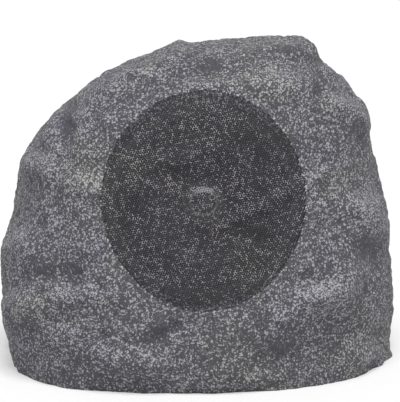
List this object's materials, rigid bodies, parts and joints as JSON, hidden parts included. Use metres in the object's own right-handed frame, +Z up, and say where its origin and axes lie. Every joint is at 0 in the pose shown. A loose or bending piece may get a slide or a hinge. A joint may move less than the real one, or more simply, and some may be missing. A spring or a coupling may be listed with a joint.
{
  "type": "rock shaped garden speaker",
  "caption": "Garden loudspeaker moulded as a grey granite boulder, with a flush contoured grille and a coaxial driver behind it.",
  "frame": {"origin": "on the ground under the middle of the rock", "axes": "+Z up, the grille faces -Y and leans back, +X to the right seen from the front"},
  "size_m": [0.333, 0.2888, 0.2711],
  "materials": {
    "rock_granite": "moulded boulder, speckled grey granite coat",
    "grille_coat": "perforated sheet, speckled dark grey coat",
    "black_plastic": "moulded black plastic, fine texture",
    "seal_rubber": "soft black rubber",
    "screw_steel": "zinc plated steel",
    "basket_paint": "black painted pressed steel",
    "cone_plastic": "black filled polypropylene",
    "spider_cloth": "resin-treated woven cloth",
    "former_aluminium": "plain aluminium",
    "coil_copper": "enamelled copper wire",
    "plated_steel": "zinc plated steel, turned",
    "ferrite": "ground ferrite",
    "tweeter_ring": "pale grey moulded plastic",
    "dome_metal": "thin formed metal foil",
    "board_laminate": "coated circuit board laminate",
    "capacitor_case": "dipped film capacitor",
    "resistor_ceramic": "cement case",
    "lead_sleeve": "insulated wire",
    "terminal_card": "pressed laminate",
    "tab_brass": "tinned brass"
  },
  "bodies": {
    "cabinet": {"rock_shell": "rock_granite", "grille": "grille_coat", "base_plate": "black_plastic", "base_gasket": "seal_rubber", "base_screws": "screw_steel", "crossover_board": "board_laminate", "board_screws": "screw_steel", "inductor": "coil_copper", "capacitors": "capacitor_case", "resistor": "resistor_ceramic", "input_terminal": "black_plastic", "woofer_leads": "lead_sleeve", "tweeter_leads": "lead_sleeve", "gland_body": "black_plastic", "gland_seal": "seal_rubber", "gland_cap": "black_plastic", "gland_locknut": "black_plastic", "woofer_gasket": "seal_rubber", "woofer_basket": "basket_paint", "woofer_screws": "screw_steel", "woofer_surround": "seal_rubber", "woofer_spider": "spider_cloth", "front_plate": "plated_steel", "ferrite_magnet": "ferrite", "yoke": "plated_steel", "terminal_strip": "terminal_card", "terminal_tabs": "tab_brass", "tweeter_post": "former_aluminium", "post_nut": "screw_steel", "tweeter_cup": "black_plastic", "tweeter_pot": "plated_steel", "tweeter_magnet": "plated_steel", "tweeter_top_plate": "plated_steel", "tweeter_dome": "dome_metal", "tweeter_faceplate": "tweeter_ring"},
    "cone": {"woofer_cone": "cone_plastic", "voice_coil_former": "former_aluminium", "voice_coil": "coil_copper"}
  },
  "joints": [
    {"name": "woofer_excursion", "type": "slide", "parent": "cabinet", "child": "cone", "axis": [0, -0.9659, 0.2588], "range_m": [-0.004, 0.004], "stiffness_N_per_m": 2000, "deforming": ["woofer_surround", "woofer_spider"]}
  ]
}
